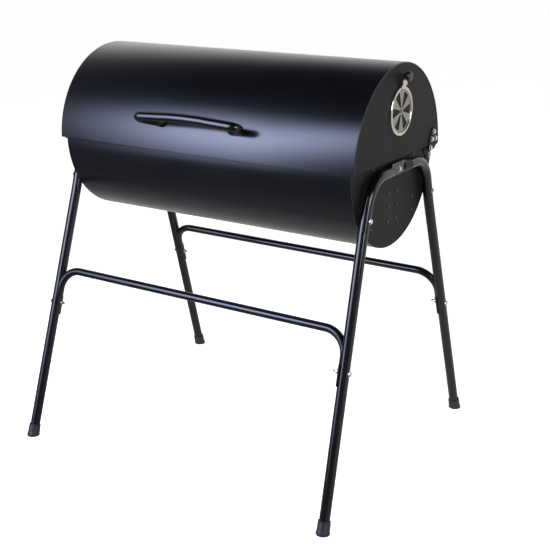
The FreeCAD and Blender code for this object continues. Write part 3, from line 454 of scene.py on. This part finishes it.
nutRing = {"back": -0.2 * mm, "front": 0.4 * mm, "gap": 0.2 * mm, "low": 0.78, "high": 0.82}


def hexNut():
    ring = turned([(nutRing["back"], bolt["shank"] + nutRing["gap"]),
                   (nutRing["back"], bolt["hex"] * nutRing["low"]),
                   (nutRing["front"], bolt["hex"] * nutRing["high"])], bolt["domeSteps"])
    return merged([hexBlock(bolt["hex"], bolt["nut"], bolt["chamfer"]), ring])


def turnedTo(side, bm, at):
    return placed(bm, Vector(at), (side, 0, 0))


def fastenerSet(name, node, body, makeOne, places):
    parts = [turnedTo(side, makeOne(), at) for side, at in places]
    return piece(name, merged(parts), "zinc", body, (node,) if node else (), 40)


def seats(node, spots):
    # where heads sit on both ends: the node's reach along X, less the head
    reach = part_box(node)[1][0] - bolt["head"] * bolt["dome"]
    return [(side, (side * reach, y, z)) for side in (-1, 1) for y, z in spots]


def bothLegs(node):
    # how far bolts in the front and rear legs lie from the middle
    low, high = (Vector(corner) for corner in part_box(node))
    return low, high, high.y - bolt["hex"] * math.cos(math.pi / 6)


def frameSpots():
    low, high, away = bothLegs("frame_bolts")
    legHeight = low.z + bolt["hex"]
    return (0, high.z - bolt["hex"]), [(-away, legHeight), (away, legHeight)]


def railSpots(node):
    high, away = bothLegs(node)[1:]
    return [(-away, high.z - bolt["hex"]), (away, high.z - bolt["hex"])]


topSpot, legSpots = frameSpots()
pressedBar = 12.1 * mm
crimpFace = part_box("frame_spacers")[1][0] + pressedBar
hingeSpots = {"lid": ((18, 37.5), (7, 20), (28, 19.5)), "bowl": ((20, -22),), "pin": ((0, 0),)}
boltSpots = {key: [(pivot.y + y * mm, pivot.z + z * mm) for y, z in spots]
             for key, spots in hingeSpots.items()}
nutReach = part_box("rail_nuts")[1][0] - bolt["nut"]
# the top bolts name no node: the leg bolts already stand for all of frame_bolts
fasteners = [
    ("frameLegBolts", "frame_bolts", "stand", "leg", seats("frame_bolts", legSpots)),
    ("frameTopBolts", "", "stand", "top", [(side, (side * crimpFace, *topSpot)) for side in (-1, 1)]),
    ("lidBracketBolts", "lid_hinge_bolts", "lid", "bracket", seats("lid_hinge_bolts", boltSpots["lid"])),
    ("bowlBracketBolts", "bowl_hinge_bolts", "stand", "bracket",
     seats("bowl_hinge_bolts", boltSpots["bowl"])),
    ("hingePivots", "hinge_pins", "stand", "pivot", seats("hinge_pins", boltSpots["pin"])),
    ("railBolts", "rail_bolts", "stand", "rail", seats("rail_bolts", railSpots("rail_bolts"))),
]
for setName, setNode, setBody, setUse, setPlaces in fasteners:
    fastenerSet(setName, setNode, setBody, lambda: hexBolt(setUse), setPlaces)
fastenerSet("railNuts", "rail_nuts", "stand", hexNut,
            [(side, (side * nutReach, y, z)) for side in (-1, 1) for y, z in railSpots("rail_nuts")])
print("fasteners made")


# --- damper knob ---

# its outline is shares of the length and of the radius, before and after the groove
knob = {"edge": 0.6, "groove": 0.35 * mm, "grooveAt": 0.58, "steps": 64, "crease": 0.5,
        "stem": [(0, 0), (0, 0.6), (0.10, 0.6), (0.26, 0.93), (0.44, 1), (0.58, 1)],
        "crown": [(0.80, 0.97), (0.93, 0.84), (0.985, 0.6), (0.97, 0.3), (0.96, 0)]}


def damperKnob():
    low, high = (Vector(corner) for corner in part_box("vent_knob"))
    length = high.x - low.x
    radius = (high.y - low.y) / 2
    groove = knob["groove"]
    ring = length * knob["grooveAt"]
    profile = [(length * along, radius * away) for along, away in knob["stem"]]
    profile += [(ring + groove, radius - groove), (ring + 2 * groove, radius)]
    profile += [(length * along, radius * away) for along, away in knob["crown"]]
    body = turned(profile, knob["steps"])
    sharp = [edge for edge in body.edges if edge.calc_face_angle(0) > knob["crease"]]
    bmesh.ops.bevel(body, geom=sharp, offset=groove * knob["edge"], offset_type="OFFSET", segments=2,
                    profile=0.5, affect="EDGES", material=-1)
    at = (low.x, (low.y + high.y) / 2, (low.z + high.z) / 2)
    return piece("damperKnob", placed(body, at), "knob_plastic", "vent_damper", ("vent_knob",), 50)


damperKnob()
print("knob made")


# --- foot caps ---

foot = {"bottom": -6 * mm, "tall": 31 * mm, "wide": 16.5 * mm, "mouth": 14.85 * mm, "bore": 12.6 * mm,
        "lipEdge": 0.4 * mm, "ribs": 4, "ribStart": 8.5 * mm, "ribDepth": 0.45 * mm, "ribPitch": 4.4 * mm,
        "floor": 7 * mm, "tube": 12.5 * mm, "steps": 48}


def legDirection(sideX, sideY):
    # each cap points up its leg, from the leg's foot to the leg bolt
    low, high = (Vector(corner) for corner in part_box("leg_frame_right"))
    base = Vector((sideX * (high.x - foot["tube"]), sideY * (high.y - foot["tube"]), 0))
    top = Vector((sideX * (low.x + foot["tube"]), sideY * legSpots[1][0], legSpots[1][1]))
    return (top - base).normalized()


def capProfile():
    wide, tall, mouth, edge = foot["wide"], foot["tall"], foot["mouth"], foot["lipEdge"]
    profile = [(foot["bottom"], 0), (foot["bottom"], wide * 0.86), (-1 * mm, wide), (3 * mm, wide),
               (7 * mm, wide * 0.94)]
    for rib in range(foot["ribs"]):
        at = foot["ribStart"] + rib * foot["ribPitch"]
        valley = wide * 0.93 - foot["ribDepth"]
        profile += [(at, wide * 0.93), (at + 0.6 * mm, valley), (at + 1.6 * mm, valley),
                    (at + 2.2 * mm, wide * 0.925)]
    profile += [(tall - 3 * mm, mouth - edge), (tall - 2 * mm, mouth), (tall - edge, mouth),
                (tall, mouth - edge)]
    return profile + [(tall, foot["bore"]), (foot["floor"], foot["bore"]), (foot["floor"], 0)]


def footCap(name, sideX, sideY):
    node = f"foot_cap_{name}"
    low, high = (Vector(corner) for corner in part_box(node))
    along = legDirection(sideX, sideY)
    centre = (low + high) / 2
    base = centre - along * (high.z / 2 / along.z)
    base.z = 0
    cap = placed(turned(capProfile(), foot["steps"]), base, along)
    cutResult = bmesh.ops.bisect_plane(cap, geom=cap.verts[:] + cap.edges[:] + cap.faces[:], dist=1e-7,
                                       plane_co=(0, 0, 0), plane_no=(0, 0, -1), clear_outer=True)
    rim = [edge for edge in cutResult["geom_cut"] if isinstance(edge, bmesh.types.BMEdge)]
    bmesh.ops.edgeloop_fill(cap, edges=rim)
    bmesh.ops.recalc_face_normals(cap, faces=cap.faces)
    # the tilted cap's box is centred on the node's box
    across = [vert.co.x for vert in cap.verts]
    deep = [vert.co.y for vert in cap.verts]
    shift = Vector((centre.x - (min(across) + max(across)) / 2, centre.y - (min(deep) + max(deep)) / 2, 0))
    bmesh.ops.translate(cap, verts=cap.verts[:], vec=shift)
    return piece(f"footCap_{name}", cap, "foot_plastic", "stand", (node,), 40)


for capName, capX, capY in (("front_left", -1, -1), ("front_right", 1, -1),
                            ("rear_left", -1, 1), ("rear_right", 1, 1)):
    footCap(capName, capX, capY)
print("foot caps made")


# --- floor, light and camera ---

studio = {"floor": 60.0, "floorGlow": 0.8, "front": 2.3, "frontTurn": 30, "frontWide": 1.7,
          "frontLow": 0.03, "frontHigh": 3.7, "frontPower": 8.2, "frontLeast": 0.05,
          "frontTint": (1.0, 1.12, 1.66), "sidePower": 60.0, "sideSize": 1.6, "sidePlace": (3.2, -1.4, 1.9),
          "sideAim": (0.1, 0, 0.6)}
# the front panel's bright spot: how high, how fast it climbs to the right, and its widths
spot = {"high": 1.4, "climb": 1.05, "climbFrom": 0.31, "middle": 0.08, "right": 0.85, "left": 0.54,
        "above": 0.63, "below": 0.66}
# the floor as seen in polished faces: darker towards the front left
mirrorFloor = {"depth": 0.4, "across": 0.2, "middle": 0.5,
               "stops": [(0.0, 0.04), (0.15, 0.08), (0.3, 0.2), (0.45, 0.38), (0.7, 0.62), (1.0, 0.8)]}
# the sky's strength from straight down to straight up, weaker in front than behind
sky = {"stops": [(0.0, 0.3), (0.46, 0.4), (0.5, 1.0), (0.69, 0.98), (0.76, 0.8), (0.8, 0.5), (0.84, 0.27),
                 (0.88, 0.1), (0.93, 0.02), (1.0, 0.02)],
       "behind": {"From Min": -0.1, "From Max": 0.5, "To Min": 0.12, "To Max": 1.25}}


def plane(name, corners):
    bm = bmesh.new()
    bm.faces.new([bm.verts.new(corner) for corner in corners])
    mesh = bpy.data.meshes.new(name)
    bm.to_mesh(mesh)
    bm.free()
    item = bpy.data.objects.new(name, mesh)
    bpy.context.scene.collection.objects.link(item)
    return item


def floorPlane():
    half = studio["floor"]
    floor = plane("floor", [(-half, -half, 0), (half, -half, 0), (half, half, 0), (-half, half, 0)])
    paper = Paint("paleFloor", Base_Color=(0.86, 0.86, 0.86, 1), Roughness=0.9)
    depth = paper.node("ShaderNodeSeparateXYZ", {}, {0: paper.place}, "Y")
    across = paper.node("ShaderNodeSeparateXYZ", {}, {0: paper.place}, "X")
    slant = depth * mirrorFloor["depth"] + across * mirrorFloor["across"] + mirrorFloor["middle"]
    mirrored = paper.ramp(slant, mirrorFloor["stops"])
    glow = paper.node("ShaderNodeEmission", {}, {"Strength": studio["floorGlow"]})
    dim = paper.node("ShaderNodeEmission", {}, {"Strength": mirrored})
    both = paper.node("ShaderNodeAddShader", {}, {0: Field(paper, paper.shader.outputs[0]), 1: glow})
    glossy = paper.node("ShaderNodeLightPath", {}, {}, "Is Glossy Ray")
    pick = paper.node("ShaderNodeMixShader", {}, {0: glossy, 1: both, 2: dim})
    paper.tree.links.new(pick.socket, paper.tree.nodes["Material Output"].inputs["Surface"])
    floor.data.materials.append(paper.material)


def frontPanel():
    # a soft light to the front left: brightest in the middle, higher towards the right
    lean = math.radians(studio["frontTurn"])
    aside = Vector((math.cos(lean), -math.sin(lean), 0))
    middle = Vector((-math.sin(lean), -math.cos(lean), 0)) * studio["front"]
    half = aside * studio["frontWide"]
    low = Vector((0, 0, studio["frontLow"]))
    high = Vector((0, 0, studio["frontHigh"]))
    panel = plane("frontPanel", [middle - half + low, middle + half + low,
                                 middle + half + high, middle - half + high])
    glowing = Paint("frontGlow")
    split = {axis: glowing.node("ShaderNodeSeparateXYZ", {}, {0: glowing.place}, axis) for axis in "XYZ"}
    along = split["X"] * aside.x + split["Y"] * aside.y
    centre = (along - spot["climbFrom"]).over(0) * spot["climb"] + spot["high"]
    rise = split["Z"] - centre
    beside = along - spot["middle"]
    wide = beside.over(0) * (1 / spot["right"]) + beside.under(0) * (1 / spot["left"])
    tall = rise.over(0) * (1 / spot["above"]) + rise.under(0) * (1 / spot["below"])
    strength = wide.bell() * tall.bell() * studio["frontPower"] + studio["frontLeast"]
    glow = glowing.node("ShaderNodeEmission", {}, {"Color": studio["frontTint"] + (1,), "Strength": strength})
    glowing.tree.links.new(glow.socket, glowing.tree.nodes["Material Output"].inputs["Surface"])
    panel.data.materials.append(glowing.material)
    panel.visible_camera = False
    panel.visible_shadow = False


def sideLight():
    light = bpy.data.lights.new("sideLight", "AREA")
    light.size = studio["sideSize"]
    light.energy = studio["sidePower"]
    item = bpy.data.objects.new("sideLight", light)
    bpy.context.scene.collection.objects.link(item)
    item.location = studio["sidePlace"]
    aim = Vector(studio["sideAim"]) - item.location
    item.rotation_euler = aim.to_track_quat("-Z", "Y").to_euler()
    item.visible_camera = False


def backgroundSky():
    world = bpy.data.worlds.new("studio")
    bpy.context.scene.world = world
    world.use_nodes = True
    world.node_tree.nodes.clear()
    net = Net(world.node_tree)
    way = net.node("ShaderNodeTexCoord", {}, {}, "Generated")
    up = net.node("ShaderNodeSeparateXYZ", {}, {0: way}, "Z")
    back = net.node("ShaderNodeSeparateXYZ", {}, {0: way}, "Y")
    half = net.node("ShaderNodeMath", {"operation": "MULTIPLY_ADD"}, {0: up, 1: 0.5, 2: 0.5})
    band = net.node("ShaderNodeValToRGB", {"stops": sky["stops"]}, {0: half})
    behind = net.node("ShaderNodeMapRange", {}, dict(sky["behind"], Value=back))
    seen = net.node("ShaderNodeLightPath", {}, {}, "Is Camera Ray")
    glow = net.node("ShaderNodeBackground", {}, {"Strength": (band * behind).over(seen)})
    out = world.node_tree.nodes.new("ShaderNodeOutputWorld")
    world.node_tree.links.new(glow.socket, out.inputs["Surface"])


shot = {"azimuth": 32.1, "elevation": 18.8, "distance": 2.6583, "target": (0.0825, 0.0, 0.4419),
        "lens": 66.82, "sensor": 36.0, "far": 200.0}


def makeCamera():
    turn = math.radians(shot["azimuth"])
    lift = math.radians(shot["elevation"])
    back = Vector((math.sin(turn) * math.cos(lift), -math.cos(turn) * math.cos(lift), math.sin(lift)))
    lens = bpy.data.cameras.new("camera")
    lens.lens = shot["lens"]
    lens.sensor_width = shot["sensor"]
    lens.clip_end = shot["far"]
    item = bpy.data.objects.new("camera", lens)
    bpy.context.scene.collection.objects.link(item)
    item.location = Vector(shot["target"]) + back * shot["distance"]
    item.rotation_euler = (-back).to_track_quat("-Z", "Y").to_euler()
    bpy.context.scene.camera = item


floorPlane()
frontPanel()
sideLight()
backgroundSky()
makeCamera()
bpy.context.scene.view_settings.view_transform = "Standard"
print("studio set")
